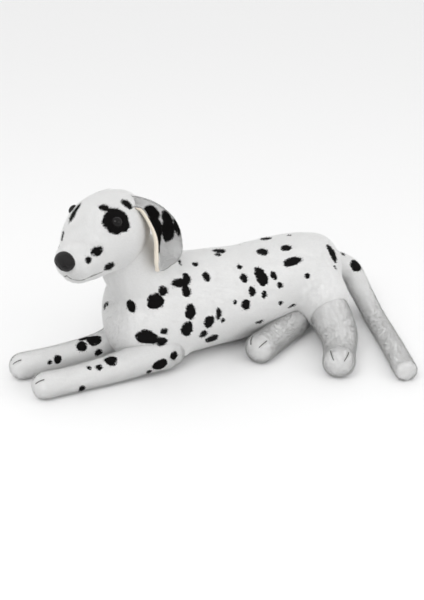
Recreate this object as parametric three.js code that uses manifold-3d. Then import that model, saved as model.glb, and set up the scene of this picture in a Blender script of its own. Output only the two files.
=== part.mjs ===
// Lying plush dog, as sewn: panels of plush skin, a filling in each part, safety-post eyes and nose.
// Millimetres, +Z up. The dog faces -Y and its left side is +X.
// The origin is on the floor, under the chest.
import * as THREE from 'three';
import { mergeVertices, toCreasedNormals } from 'three/addons/utils/BufferGeometryUtils.js';
import Module from 'manifold-3d';

const wasm = await Module();
wasm.setup();

// Overall sizes
const BODY_LENGTH = 430; // chest to rump
const CHEST_WIDTH = 166;
const CHEST_HEIGHT = 170;
const LEG_WIDTH = 42;
const TAIL_WIDTH = 35;
const TAIL_REACH = 270; // how far the tail lies out to the left of the rump
const SKULL_WIDTH = 118;
const MUZZLE_WIDTH = 62;
const NECK_WIDTH = 88;
const EAR_LENGTH = 125;
const EAR_WIDTH = 82;
const EYE_WIDTH = 16;
const NOSE_WIDTH = 34;
const HEAD_TURN = 28; // degrees to the dog's left, as sewn

// Materials and fits
const SKIN = 2.5; // plush backing and the root of its pile
const LINING = 2.4; // each layer of an ear
const FILL_GAP = 0.3; // between a skin and its filling
const SEAM_GAP = 0.3; // between two sewn panels
const JOINT_GAP = 1.6; // between a moving part and the skin it is sewn into
const BALL_EXTRA = 0.5; // more room round the ball at the root of a moving part
const POST_GAP = 0.2; // around an eye or nose post
const THREAD = 1.1; // radius of the stitched lines
const THREAD_GAP = 0.3;
const POST = 2.4; // radius of an eye or nose post
const WASHER = 8.5; // radius of a locking washer
const WASHER_THICK = 1.8;

// How far each part moves, in degrees from rest
const NOD = [-12, 12];
const HEAD_SWING = [-25, 6];
const SWING_SPARE = 4; // extra turn in the head's socket, past both limits
const FORELEG_LIFT = [0, 22];
const HIND_SWING = [-10, 10];
const TAIL_SWING = [-10, 20];
const SWEEP_STEP = 11;

const AROUND = 12;
const CAP_ROWS = 2;
const BIG = 2000;

const UP = new THREE.Vector3(0, 0, 1);
const LEFT = new THREE.Vector3(1, 0, 0);
const k = {
  long: BODY_LENGTH / 430,
  wide: CHEST_WIDTH / 166,
  high: CHEST_HEIGHT / 170,
  leg: LEG_WIDTH / 42,
  tail: TAIL_WIDTH / 35,
  skull: SKULL_WIDTH / 118,
  muzzle: MUZZLE_WIDTH / 62,
};

// ---- Shape helpers ----

function toSolid(geometry) {
  const bare = geometry.clone();
  bare.deleteAttribute('normal');
  bare.deleteAttribute('uv');
  const merged = mergeVertices(bare);
  return new wasm.Manifold(new wasm.Mesh({
    numProp: 3,
    vertProperties: Float32Array.from(merged.attributes.position.array),
    triVerts: Uint32Array.from(merged.index.array),
  }));
}

function toGeometry(solid) {
  const mesh = solid.getMesh();
  const geometry = new THREE.BufferGeometry();
  geometry.setAttribute('position', new THREE.BufferAttribute(mesh.vertProperties, 3));
  geometry.setIndex(new THREE.BufferAttribute(mesh.triVerts, 1));
  return toCreasedNormals(geometry, 0.7);
}

// A soft part is a rounded tube along a spine. Its stations are [x, y, z, half width, half height].
// Lift moves the whole part off its spine, towards its top.
function softPart(stations, options = {}) {
  const { startCap = 1, endCap = 1, side = UP, rows = 10, around = AROUND, lift = 0 } = options;
  const spine = new THREE.CatmullRomCurve3(
    stations.map(([x, y, z]) => new THREE.Vector3(x, y, z)), false, 'catmullrom', 0.5);
  const girth = new THREE.CatmullRomCurve3(
    stations.map(([, , , w, h]) => new THREE.Vector3(w, h, 0)), false, 'catmullrom', 0.5);
  return { stations, spine, girth, startCap, endCap, side, rows, around, lift };
}


// A point on a soft part. Step runs from -1 at the start pole, through 0 to 1 along the spine,
// to 2 at the end pole. Angle 0 is the right of the way the spine runs, and 90 its top.
// Inset goes inward.
function pointOn(part, step, angle, inset = 0) {
  const along = THREE.MathUtils.clamp(step, 0, 1);
  const tangent = part.spine.getTangent(along);
  const across = new THREE.Vector3().crossVectors(tangent, part.side).normalize();
  const above = new THREE.Vector3().crossVectors(across, tangent);
  const size = part.girth.getPoint(along);
  const beyond = step < 0 ? -step : Math.max(step - 1, 0);
  const shrink = Math.cos(beyond * Math.PI / 2);
  const cap = (step < 0 ? part.startCap : part.endCap) * Math.min(size.x, size.y);
  const reach = Math.sign(step - 0.5) * Math.sin(beyond * Math.PI / 2) * Math.max(cap - inset, 0.5);
  const turn = THREE.MathUtils.degToRad(angle);
  return part.spine.getPoint(along)
    .addScaledVector(tangent, reach)
    .addScaledVector(across, Math.cos(turn) * shrink * Math.max(size.x - inset, 0.4))
    .addScaledVector(above, part.lift + Math.sin(turn) * shrink * Math.max(size.y - inset, 0.4));
}

function solidOf(part, inset = 0) {
  const rows = part.rows + 2 * CAP_ROWS;
  const geometry = new THREE.SphereGeometry(1, part.around, rows);
  const { position, uv } = geometry.attributes;
  for (let i = 0; i < position.count; i += 1) {
    const row = Math.round((1 - uv.getY(i)) * rows);
    let step = (row - CAP_ROWS) / part.rows;
    if (row < CAP_ROWS) step = row / CAP_ROWS - 1;
    if (row > rows - CAP_ROWS) step = 1 + (row - rows + CAP_ROWS) / CAP_ROWS;
    const pole = row === 0 || row === rows;
    const column = pole ? 0 : Math.round(uv.getX(i) * part.around) % part.around;
    const point = pointOn(part, step, 180 + 360 * column / part.around, inset);
    if (pole) point.copy(pointOn(part, step, 0, inset));
    position.setXYZ(i, point.x, point.y, point.z);
  }
  return toSolid(geometry);
}

function box(x0, x1, y0, y1, z0, z1) {
  const geometry = new THREE.BoxGeometry(x1 - x0, y1 - y0, z1 - z0);
  geometry.translate((x0 + x1) / 2, (y0 + y1) / 2, (z0 + z1) / 2);
  return toSolid(geometry);
}

function ellipsoid(centre, radii, segments = 12) {
  const geometry = new THREE.SphereGeometry(1, segments, segments / 2 + 2);
  geometry.scale(...radii);
  geometry.translate(...centre);
  return toSolid(geometry);
}

// A round rod or disc that runs from a point along a direction.
function rod(from, direction, radius, length, segments = 12) {
  const geometry = new THREE.CylinderGeometry(radius, radius, length, segments);
  geometry.translate(0, length / 2, 0);
  const turn = new THREE.Quaternion().setFromUnitVectors(
    new THREE.Vector3(0, 1, 0), direction.clone().normalize());
  geometry.applyQuaternion(turn);
  geometry.translate(from.x, from.y, from.z);
  return toSolid(geometry);
}

function thread(points, radius = THREAD) {
  const outline = new THREE.Shape();
  outline.absarc(0, 0, radius, 0, 2 * Math.PI);
  return toSolid(new THREE.ExtrudeGeometry(outline, {
    extrudePath: new THREE.CatmullRomCurve3(points),
    steps: 2 * (points.length - 1),
    curveSegments: 6,
    bevelEnabled: false,
  }));
}

// A solid turned about an axis through a point.
function turned(solid, pivot, axis, degrees) {
  const move = new THREE.Matrix4().makeTranslation(...pivot)
    .multiply(new THREE.Matrix4().makeRotationAxis(axis, THREE.MathUtils.degToRad(degrees)))
    .multiply(new THREE.Matrix4().makeTranslation(...pivot.map((value) => -value)));
  return solid.transform(move.elements);
}

// Everything that a moving solid passes through between its two limits.
function swept(solid, pivot, axis, [low, high]) {
  const count = Math.ceil((high - low) / SWEEP_STEP);
  let sum = turned(solid, pivot, axis, low);
  for (let i = 1; i <= count; i += 1) {
    sum = sum.add(turned(solid, pivot, axis, low + (high - low) * i / count));
  }
  return sum;
}

// The room that a round-ended part needs as it turns about one of its ends: a ball at that end,
// and the sweep of the nearest part of its length. Its stations start at the end that turns.
function socketOf(stations, axis, range, count = 3) {
  const [x, y, z, w, h] = stations[0];
  const reach = softPart(stations.slice(0, count),
    { startCap: 0.1, endCap: 0.2, rows: count, around: 12 });
  const ball = Math.max(w, h) + JOINT_GAP + BALL_EXTRA;
  return swept(solidOf(reach, -JOINT_GAP), [x, y, z], axis, range)
    .add(ellipsoid([x, y, z], [ball, ball, ball], 14));
}

const aboveFloor = box(-BIG, BIG, -BIG, BIG, 0, BIG);
const leftHalf = box(SEAM_GAP / 2, BIG, -BIG, BIG, -BIG, BIG);
const rightHalf = box(-BIG, -SEAM_GAP / 2, -BIG, BIG, -BIG, BIG);
const upperThan = (height) => box(-BIG, BIG, -BIG, BIG, height + SEAM_GAP / 2, BIG);
const lowerThan = (height) => box(-BIG, BIG, -BIG, BIG, -BIG, height - SEAM_GAP / 2);

// ---- Materials ----

const fabric = (color) => new THREE.MeshStandardMaterial({ color, roughness: 0.95, metalness: 0 });
const glossy = (color, roughness) => new THREE.MeshStandardMaterial({ color, roughness, metalness: 0 });
const plush = fabric('#f2f1ef');
const lining = fabric('#dccbb2');
const filling = fabric('#fbfaf6');
const cotton = fabric('#4a4644');
const eyePlastic = glossy('#0d0c0c', 0.12);
const nosePlastic = glossy('#131212', 0.45);
const washerPlastic = glossy('#e8e6df', 0.5);

const dog = new THREE.Group();

function addMesh(name, solid, material) {
  const mesh = new THREE.Mesh(toGeometry(solid), material);
  mesh.name = name;
  dog.add(mesh);
}

// ---- Spines of the soft parts ----

const place = (x, y, z, w, h) => [x * k.wide, y * k.long, z * k.high, w * k.wide, h * k.high];
const legRadius = LEG_WIDTH / 2;
const LEG_SINK = 0.8; // how much a leg flattens on the floor

// A leg station sits on the floor unless it is lifted by a given height.
const legAt = (x, y, size, lift = 0) => {
  const radius = legRadius * size;
  return [x * k.wide, y * k.long, radius - LEG_SINK + lift, radius, radius];
};

const torso = softPart([
  place(0, -86, 90, 62, 72),
  place(0, -50, 84, 77, 82),
  place(0, 0, 83.5, 83, 85),
  place(0, 60, 80.5, 82, 82),
  place(0, 130, 77, 81, 78),
  place(0, 200, 85, 75, 72),
  place(0, 250, 89, 69, 66),
  place(0, 288, 88, 60, 60),
], { startCap: 0.45, endCap: 0.6, rows: 9, around: 20 });

const neckBase = softPart([
  place(0, 2, 110, 60, 62),
  place(4, -42, 142, 57, 58),
], { startCap: 0.7, endCap: 0.6, rows: 2 });

// The haunch and the shoulders are as thick as the legs that are sewn to them need.
const haunch = softPart([
  [34 * k.wide, 262 * k.long, 72 * k.high, legRadius * 2.4, legRadius * 2.76],
  [70 * k.wide, 257 * k.long, 60 * k.high, legRadius * 2.05, legRadius * 2.45],
], { startCap: 0.6, endCap: 0.35, rows: 2 });

const shoulders = [[52, 53], [-44, -38]].map(([back, front]) => softPart([
  [back * k.wide, 6 * k.long, legRadius * 2.05, legRadius * 1.43, legRadius * 2.05],
  [front * k.wide, -46 * k.long, legRadius * 1.81, legRadius * 1.48, legRadius * 1.81],
], { startCap: 1, endCap: 0.6, rows: 2 }));

const neckFoot = [6 * k.wide, -66 * k.long, 172 * k.high];
const neckTop = [12 * k.wide, -90 * k.long, 218 * k.high];
const neckRadius = NECK_WIDTH / 2;
const neck = softPart([
  [...neckFoot, neckRadius * 1.18, neckRadius * 1.18],
  [...neckTop, neckRadius, neckRadius],
], { rows: 3, around: 16 });

const limbs = {
  foreleg_left: {
    part: softPart([
      legAt(53, -74, 1.33, 4),
      legAt(51, -120, 1.12, 1),
      legAt(46, -190, 0.98),
      legAt(42, -242, 1),
    ], { endCap: 0.85, rows: 5 }),
    axis: new THREE.Vector3(-1, 0, 0),
    range: FORELEG_LIFT,
  },
  foreleg_right: {
    part: softPart([
      legAt(-36, -74, 1.25, 2),
      legAt(-27, -124, 1.06),
      legAt(-27, -190, 0.98),
      legAt(-30, -256, 1),
    ], { endCap: 0.85, rows: 5 }),
    axis: new THREE.Vector3(-1, 0, 0),
    range: FORELEG_LIFT,
  },
  hind_left: {
    part: softPart([
      legAt(102, 254, 1.75, 11),
      legAt(146, 240, 1.42, 2),
      legAt(184, 215, 1.18),
      legAt(206, 198, 1.22),
    ], { startCap: 0.9, endCap: 0.8, rows: 5 }),
    axis: UP,
    range: HIND_SWING,
  },
  hind_right: {
    part: softPart([
      legAt(54, 214, 1.17, 0.5),
      legAt(76, 172, 1.15),
      legAt(96, 132, 1.13),
      legAt(108, 108, 1.17),
    ], { startCap: 0.9, endCap: 0.8, rows: 4 }),
    axis: UP,
    range: HIND_SWING,
    count: 4,
  },
};

const tailRadius = TAIL_WIDTH / 2;
const tailSpread = TAIL_REACH / 270;
const tailAt = (x, y, z, size) =>
  [x * tailSpread, y * k.long, z, tailRadius * size, tailRadius * size];
const tail = {
  part: softPart([
    tailAt(0, 322, 86 * k.high, 1.4),
    tailAt(14, 352, 70 * k.high, 1.25),
    tailAt(46, 362, 34 * k.high, 1.08),
    tailAt(102, 349, tailRadius - LEG_SINK, 1),
    tailAt(184, 319, tailRadius - LEG_SINK, 0.98),
    tailAt(270, 285, tailRadius - LEG_SINK, 1),
  ], { endCap: 0.45, rows: 10, around: 12 }),
  axis: UP,
  range: TAIL_SWING,
};

// ---- Torso: side and belly panels round one filling, with a socket for each moving part ----

const sockets = [
  socketOf(neck.stations, LEFT, NOD),
  ...[...Object.values(limbs), tail].map(({ part, axis, range, count }) =>
    socketOf(part.stations, axis, range, count)),
];

function withSockets(solid) {
  return sockets.reduce((rest, socket) => rest.subtract(socket), solid);
}

function torsoSolid(inset) {
  return [neckBase, haunch, ...shoulders]
    .reduce((sum, part) => sum.add(solidOf(part, inset)), solidOf(torso, inset));
}

const insideFloor = upperThan(SKIN - SEAM_GAP / 2);
const torsoInside = torsoSolid(SKIN).intersect(insideFloor);
const torsoSkin = withSockets(torsoSolid(0).intersect(aboveFloor).subtract(torsoInside));
const torsoFilling = withSockets(torsoSolid(SKIN + FILL_GAP)
  .intersect(upperThan(SKIN + FILL_GAP - SEAM_GAP / 2)));
const BELLY_SEAM = legRadius * 1.7; // clear of the sockets of the hind legs
const sides = torsoSkin.intersect(upperThan(BELLY_SEAM));
addMesh('torso_skin_left', sides.intersect(leftHalf), plush);
addMesh('torso_skin_right', sides.intersect(rightHalf), plush);
addMesh('torso_skin_belly', torsoSkin.intersect(lowerThan(BELLY_SEAM)), plush);
addMesh('torso_filling', torsoFilling, filling);

// ---- Neck: a short tube of skin, open at the foot ----

const neckOpening = box(-BIG, BIG, -BIG, BIG, -BIG, neckFoot[2] - neckRadius * 1.02);
addMesh('neck_skin', solidOf(neck).subtract(solidOf(neck, SKIN)).subtract(neckOpening), plush);
addMesh('neck_filling', solidOf(neck, SKIN + FILL_GAP).subtract(neckOpening), filling);

// ---- Head, in its own frame: origin at the skull's centre, facing -Y ----

const headCentre = [neckTop[0] + 2, neckTop[1] - 14 * k.skull, neckTop[2] + 36 * k.skull];
const headAt = (y, z, w, h) => [0, y * k.skull, z * k.skull, w * k.skull, h * k.skull];
const muzzleAt = (y, z, w, h) => [0, y * k.skull, z * k.skull, w * k.muzzle, h * k.muzzle];
const head = softPart([
  headAt(28, -2, 47, 48),
  headAt(4, -4, 57, 55),
  headAt(-22, -10, 59, 57),
  headAt(-46, -18, 53, 49),
  muzzleAt(-68, -27, 42, 38),
  muzzleAt(-92, -32, 31, 30),
], { startCap: 0.55, endCap: 0.75, rows: 8, around: 18 });

const headTurn = THREE.MathUtils.degToRad(HEAD_TURN);
const headPose = new THREE.Matrix4().makeTranslation(...headCentre)
  .multiply(new THREE.Matrix4().makeRotationZ(headTurn));
const toHead = headPose.clone().invert();

function addHeadMesh(name, solid, material) {
  addMesh(name, solid.transform(headPose.elements), material);
}

// Seen from the head, the neck turns the other way.
const neckSocket = socketOf([...neck.stations].reverse(), UP,
  [-HEAD_SWING[1] - SWING_SPARE, SWING_SPARE - HEAD_SWING[0]])
  .transform(toHead.elements);

const headInner = solidOf(head, SKIN);

// Eyes: a dome on a post that goes through the skin, locked by a washer.
const eyeRadius = EYE_WIDTH / 2;
const EYE_STEP = 0.43; // along the head
const EYE_RISE = 44; // degrees up its side
const eyes = [1, -1].map((sign) => {
  const seat = pointOn(head, EYE_STEP, sign > 0 ? 180 - EYE_RISE : EYE_RISE, 0.4);
  const outward = seat.clone().sub(pointOn(head, EYE_STEP,
    sign > 0 ? 180 - EYE_RISE : EYE_RISE, 20)).normalize();
  const inward = outward.clone().negate();
  const dome = ellipsoid([0, 0, 0], [eyeRadius, eyeRadius, eyeRadius * 0.8])
    .translate(seat.toArray());
  const postStart = seat.clone();
  const washerStart = seat.clone().addScaledVector(inward, eyeRadius * 0.8 + 2.2);
  return { sign, dome, seat, inward, postStart, washerStart };
});
const POST_LENGTH = 16;

const noseRadius = NOSE_WIDTH / 2;
const noseSeat = pointOn(head, 1.62, 90, 1.5);
const noseShape = (grow) => ellipsoid(noseSeat.toArray(),
  [noseRadius + grow, noseRadius * 0.5 + grow, noseRadius * 0.76 + grow], 14);
const noseInward = new THREE.Vector3(0, 1, 0);
const noseWasherStart = noseSeat.clone().addScaledVector(noseInward, noseRadius * 0.5 + 2.2);

// Everything that the skin and the filling of the head leave room for.
let hardware = noseShape(POST_GAP)
  .add(rod(noseSeat, noseInward, POST + POST_GAP, POST_LENGTH + 1 + noseRadius * 0.5));
let washers = rod(noseWasherStart.clone().addScaledVector(noseInward, -FILL_GAP), noseInward,
  WASHER + POST_GAP, WASHER_THICK + 2 * FILL_GAP);
for (const eye of eyes) {
  hardware = hardware
    .add(ellipsoid(eye.seat.toArray(), [eyeRadius + POST_GAP, eyeRadius + POST_GAP,
      eyeRadius * 0.8 + POST_GAP]))
    .add(rod(eye.postStart, eye.inward, POST + POST_GAP, POST_LENGTH + 1));
  washers = washers.add(rod(eye.washerStart.clone().addScaledVector(eye.inward, -FILL_GAP),
    eye.inward, WASHER + POST_GAP, WASHER_THICK + 2 * FILL_GAP));
}

// Mouth: one line of thread along the right lip, under the nose and back along the left lip.
const LIP = [[0.82, -26], [1.05, -30], [1.4, -42], [1.7, -66], [1.84, -90]];
const rightLip = LIP.map(([step, angle]) => pointOn(head, step, angle));
const leftLip = LIP.slice(0, -1).reverse().map(([step, angle]) => pointOn(head, step, -180 - angle));
const mouthLine = [...rightLip, ...leftLip];
const mouthThread = thread(mouthLine);
const mouthGroove = thread(mouthLine, THREAD + THREAD_GAP);

const headSkin = solidOf(head).subtract(headInner)
  .subtract(neckSocket).subtract(hardware).subtract(washers).subtract(mouthGroove);
const headFilling = solidOf(head, SKIN + FILL_GAP)
  .subtract(neckSocket).subtract(hardware).subtract(washers).subtract(mouthGroove);

const CROWN_HALF = 13 * k.skull;
const CROWN_FLOOR = -4 * k.skull;
const CHIN_TOP = -50 * k.skull;
const CHIN_BACK = -50 * k.skull;
const crownBox = (grow) =>
  box(-CROWN_HALF - grow, CROWN_HALF + grow, -BIG, BIG, CROWN_FLOOR - grow, BIG);
const chinBox = (grow) => box(-BIG, BIG, -BIG, CHIN_BACK + grow, -BIG, CHIN_TOP + grow);
const cheeks = headSkin.subtract(crownBox(SEAM_GAP / 2)).subtract(chinBox(SEAM_GAP / 2));
addHeadMesh('head_skin_left', cheeks.intersect(leftHalf), plush);
addHeadMesh('head_skin_right', cheeks.intersect(rightHalf), plush);
addHeadMesh('head_skin_crown', headSkin.intersect(crownBox(-SEAM_GAP / 2)), plush);
addHeadMesh('head_skin_chin', headSkin.intersect(chinBox(-SEAM_GAP / 2)), plush);
addHeadMesh('head_filling', headFilling, filling);
addHeadMesh('mouth_thread', mouthThread, cotton);

const nosePost = rod(noseSeat, noseInward, POST, POST_LENGTH + noseRadius * 0.5);
const noseWasher = rod(noseWasherStart, noseInward, WASHER, WASHER_THICK)
  .subtract(rod(noseSeat, noseInward, POST + POST_GAP, POST_LENGTH * 2));
addHeadMesh('nose', noseShape(0).add(nosePost), nosePlastic);
addHeadMesh('nose_washer', noseWasher, washerPlastic);
for (const eye of eyes) {
  const name = eye.sign > 0 ? 'left' : 'right';
  const post = rod(eye.postStart, eye.inward, POST, POST_LENGTH);
  const washer = rod(eye.washerStart, eye.inward, WASHER, WASHER_THICK)
    .subtract(rod(eye.postStart, eye.inward, POST + POST_GAP, POST_LENGTH * 2));
  addHeadMesh(`eye_${name}`, eye.dome.add(post), eyePlastic);
  addHeadMesh(`eye_washer_${name}`, washer, washerPlastic);
}

// ---- Ears: two layers that hang from a seam along the side of the head ----

// Along its length an ear is [out from the seam, back from it, share of its length down, share of
// its width]. It leaves the head outward, turns down, and hangs clear of the neck.
const EAR_SEAM = [33 * k.skull, 20 * k.skull, 35 * k.skull];
const EAR_SHAPE = [
  [-14, -2, 0.03, 0.22], // under the head's surface, cut off below
  [0, 0, 0, 0.26],
  [20, 6, 0.1, 0.35],
  [36, 17, 0.34, 0.46],
  [40, 20, 0.6, 0.47],
  [38, 18, 0.78, 0.4],
];
const EAR_FORWARD = { left: 0, right: 26 }; // the right ear hangs further forward
const EAR_HINGE = [EAR_SEAM[0], EAR_SEAM[1], EAR_SEAM[2] + 6]; // just above the seam
const EAR_LIFT = 60;
const headBed = solidOf(head, -JOINT_GAP);

// What an ear stays clear of: the head's surface, as the ear meets it at every lift.
const earBedOf = (sign) => {
  const hinge = [sign * EAR_HINGE[0], EAR_HINGE[1], EAR_HINGE[2]];
  let bed = headBed;
  for (let lift = 10; lift <= EAR_LIFT; lift += 10) {
    bed = bed.add(headBed.translate(hinge.map((v) => -v)).rotate([0, sign * lift, 0])
      .translate(hinge));
  }
  return bed;
};
for (const sign of [1, -1]) {
  const name = sign > 0 ? 'left' : 'right';
  const layer = (lift) => softPart(EAR_SHAPE.map(([out, back, drop, width]) => [
    sign * (EAR_SEAM[0] + out * k.skull),
    EAR_SEAM[1] + back * k.skull - EAR_FORWARD[name] * Math.min(1, drop * 2.5),
    EAR_SEAM[2] - EAR_LENGTH * drop,
    EAR_WIDTH * width,
    LINING / 2,
  ]), { startCap: 0.6, endCap: 3.4, side: new THREE.Vector3(sign, 0, 0.6), rows: 9, lift });
  const step = (LINING + SEAM_GAP * 2) / 2;
  const earBed = earBedOf(sign);
  const outer = layer(step);
  addHeadMesh(`ear_outer_${name}`, solidOf(outer).subtract(earBed), plush);
  addHeadMesh(`ear_lining_${name}`, solidOf(layer(-step)).subtract(earBed)
    .subtract(solidOf(outer, -SEAM_GAP / 2)), lining);
}

// ---- Legs and tail ----

const SOLE_SEAM = 15 * k.leg;
const TOE_ANGLES = { foreleg_left: [60, 120], foreleg_right: [60, 120] };
for (const [name, { part }] of Object.entries(limbs)) {
  const toes = (TOE_ANGLES[name] ?? [55, 125]).map((angle) => [
    pointOn(part, 1.02, angle), pointOn(part, 1.35, angle), pointOn(part, 1.62, angle * 0.6 + 18),
  ]);
  const grooves = toes.map((points) => thread(points, THREAD + THREAD_GAP));
  const cut = (solid) => grooves.reduce((rest, groove) => rest.subtract(groove), solid);
  const shell = cut(solidOf(part).subtract(solidOf(part, SKIN).intersect(insideFloor))
    .intersect(aboveFloor));
  const core = cut(solidOf(part, SKIN + FILL_GAP)
    .intersect(upperThan(SKIN + FILL_GAP - SEAM_GAP / 2)));
  addMesh(`${name}_skin`, shell.intersect(upperThan(SOLE_SEAM)), plush);
  addMesh(`${name}_sole`, shell.intersect(lowerThan(SOLE_SEAM)), plush);
  addMesh(`${name}_filling`, core, filling);
  toes.forEach((points, i) => addMesh(`${name}_toe_thread_${i + 1}`, thread(points), cotton));
}

const tailRoot = tail.part.spine.getPoint(0);
const tailOpening = box(-tailRadius * 2, tailRadius * 2, -BIG, tailRoot.y - tailRadius * 0.9, -BIG, BIG);
const tailShell = solidOf(tail.part).subtract(solidOf(tail.part, SKIN).intersect(insideFloor))
  .intersect(aboveFloor);
addMesh('tail_skin', tailShell.subtract(tailOpening), plush);
addMesh('tail_filling', solidOf(tail.part, SKIN + FILL_GAP)
  .intersect(upperThan(SKIN + FILL_GAP - SEAM_GAP / 2)).subtract(tailOpening), filling);

export default dog;
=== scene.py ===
"""A plush spotted dog lying down: stuffed skins with short pile, ears, eyes, nose and stitching.

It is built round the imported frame. Sizes are in millimetres until a mesh is made, in the CAD's own frame.
The dog faces -Y and its left is +X.
"""
import math

import bpy
import numpy as np
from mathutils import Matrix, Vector
from mathutils.bvhtree import BVHTree


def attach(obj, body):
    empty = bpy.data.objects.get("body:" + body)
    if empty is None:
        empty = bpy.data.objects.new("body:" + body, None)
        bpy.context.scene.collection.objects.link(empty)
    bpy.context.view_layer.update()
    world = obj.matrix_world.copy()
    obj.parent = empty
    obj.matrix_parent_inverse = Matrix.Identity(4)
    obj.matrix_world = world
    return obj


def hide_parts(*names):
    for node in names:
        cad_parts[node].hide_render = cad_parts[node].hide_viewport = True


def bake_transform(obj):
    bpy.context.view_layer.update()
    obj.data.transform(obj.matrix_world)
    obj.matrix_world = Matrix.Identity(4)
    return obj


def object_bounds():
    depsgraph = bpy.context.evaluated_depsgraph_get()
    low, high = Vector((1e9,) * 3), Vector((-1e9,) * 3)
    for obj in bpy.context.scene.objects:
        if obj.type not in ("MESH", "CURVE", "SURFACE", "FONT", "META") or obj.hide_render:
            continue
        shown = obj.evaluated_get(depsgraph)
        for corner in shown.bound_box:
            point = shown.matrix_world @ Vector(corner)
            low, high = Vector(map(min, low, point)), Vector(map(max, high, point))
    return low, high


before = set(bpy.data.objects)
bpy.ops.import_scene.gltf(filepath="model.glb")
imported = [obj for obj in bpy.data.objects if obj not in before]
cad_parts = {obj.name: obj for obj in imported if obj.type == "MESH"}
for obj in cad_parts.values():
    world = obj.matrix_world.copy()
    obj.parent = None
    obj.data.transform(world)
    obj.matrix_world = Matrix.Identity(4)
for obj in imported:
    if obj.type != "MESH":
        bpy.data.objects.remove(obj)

cad_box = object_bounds()
MM = 0.001

# ---------------------------------------------------------------- sizes

LEG_RADIUS = 21
TAIL_RADIUS = 17.5
GROUND_SINK = 0.8
EAR_LENGTH = 125
EAR_WIDTH = 82
EAR_HALF_THICKNESS = 3.2
EAR_SEAM = (33, 20, 35)
EAR_TIP_CAP = 8.16
HEAD_CENTRE = np.array([14.0, -104.0, 254.0])
HEAD_YAW = math.radians(28)
PILE_LENGTH = 3.4
PILE_WIDTH = 0.95
PILE_LEAN = (35, 70)
PILE_DISORDER = 0.35
PILE_COUNTS = {"body": 195000, "head": 80000, "limb": 45000, "tail": 42000, "ear": 30000}

EYE_RADIUS = 8
EYE_STEP = 0.43
EYE_RISE = 44
NOSE_STEP = 1.62
NOSE_INSET = 1.5
NOSE_SIZE = np.array([18.0, 13.0, 15.0])
THREAD_RADIUS = 0.85

CLOTH_FRAMES = 18
CLOTH_PRESSURE = 4.0

CAMERA_TARGET = Vector((0.030, 0.060, 0.090))
CAMERA_AZIMUTH = math.radians(62)
CAMERA_ELEVATION = math.radians(28)
CAMERA_DISTANCE = 1.5
CAMERA_LENS = 54
FLOOR_REACH = 30000


# ---------------------------------------------------------------- tubes

def spline(points, t):
    """Catmull-Rom through the points, with t from 0 to 1 over all of them."""
    ends = np.vstack([2 * points[0] - points[1], points, 2 * points[-1] - points[-2]])
    place = np.clip(t, 0, 1) * (len(points) - 1)
    i = np.minimum(place.astype(int), len(points) - 2)
    f = (place - i)[:, None]
    a, b, c, d = ends[i], ends[i + 1], ends[i + 2], ends[i + 3]
    return 0.5 * (2 * b + (c - a) * f + (2 * a - 5 * b + 4 * c - d) * f**2 + (3 * b - a - 3 * c + d) * f**3)


def unit(v):
    return v / np.maximum(np.linalg.norm(v, axis=-1, keepdims=True), 1e-9)


class Tube:
    """A soft part: a rounded tube along a spine of stations [x, y, z, half width, half height]."""

    def __init__(self, stations, start_cap=0.8, end_cap=0.8, side=(0, 0, 1), place=None):
        self.stations = np.array(stations, float)
        self.caps = (start_cap, end_cap)
        self.side = np.array(side, float)
        self.place = place or (lambda p: p)

    def at(self, step, angle, inset=0.0):
        """Points on the surface. Step is -1 at the start pole, 0 to 1 along the spine and 2 at the end pole.
        Angle 0 is on the right of the spine's direction and 90 on top, in degrees."""
        step, angle = np.broadcast_arrays(np.asarray(step, float), np.asarray(angle, float))
        shape = step.shape
        step, turn = step.ravel(), np.radians(angle.ravel())
        along = np.clip(step, 0, 1)
        here = spline(self.stations, along)
        nudge = 1e-3
        ahead = spline(self.stations[:, :3], np.minimum(along + nudge, 1))
        behind = spline(self.stations[:, :3], np.maximum(along - nudge, 0))
        tangent = unit(ahead - behind)
        across = unit(np.cross(tangent, self.side))
        above = np.cross(across, tangent)
        w, h = here[:, 3], here[:, 4]
        beyond = np.where(step < 0, -step, np.maximum(step - 1, 0)) * np.pi / 2
        cap = np.where(step < 0, self.caps[0], self.caps[1]) * np.minimum(w, h)
        reach = np.sign(step - 0.5) * np.sin(beyond) * np.maximum(cap - inset, 0.5)
        ring = np.cos(beyond)
        point = (
            here[:, :3]
            + tangent * reach[:, None]
            + across * (np.cos(turn) * ring * np.maximum(w - inset, 0.4))[:, None]
            + above * (np.sin(turn) * ring * np.maximum(h - inset, 0.4))[:, None]
        )
        return self.place(point).reshape(shape + (3,))

    def frame_at(self, step, angle):
        """A surface point with the unit vectors along the spine, round the tube and out of it."""
        here = self.at(step, angle)
        along = unit(self.at(step + 0.01, angle) - self.at(step - 0.01, angle))
        around = self.at(step, angle + 1) - self.at(step, angle - 1)
        around = unit(around - along * (around @ along))
        out = np.cross(along, around)
        centre = self.at(step, np.arange(0, 360, 30.0)).mean(axis=0)
        if out @ (here - centre) < 0:
            out = -out
        return here, along, around, out

    def loft(self, rows=40, around=40):
        """Vertices and faces of the closed surface."""
        caps = np.linspace(0, 1, 9)[1:-1]
        steps = np.concatenate([caps[::-1] * -1, np.linspace(0, 1, rows), 1 + caps])
        angles = np.arange(around) * 360 / around
        grid = self.at(steps[:, None], angles[None, :]).reshape(-1, 3)
        verts = np.vstack([grid, self.at(-1.0, 0.0).reshape(1, 3), self.at(2.0, 0.0).reshape(1, 3)])
        first, last = len(grid), len(grid) + 1
        faces = []
        for j in range(around):
            k = (j + 1) % around
            faces.append((first, j, k))
            for i in range(len(steps) - 1):
                faces.append((i * around + j, (i + 1) * around + j, (i + 1) * around + k, i * around + k))
            low = (len(steps) - 1) * around
            faces.append((low + j, last, low + k))
        return verts, faces


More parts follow.
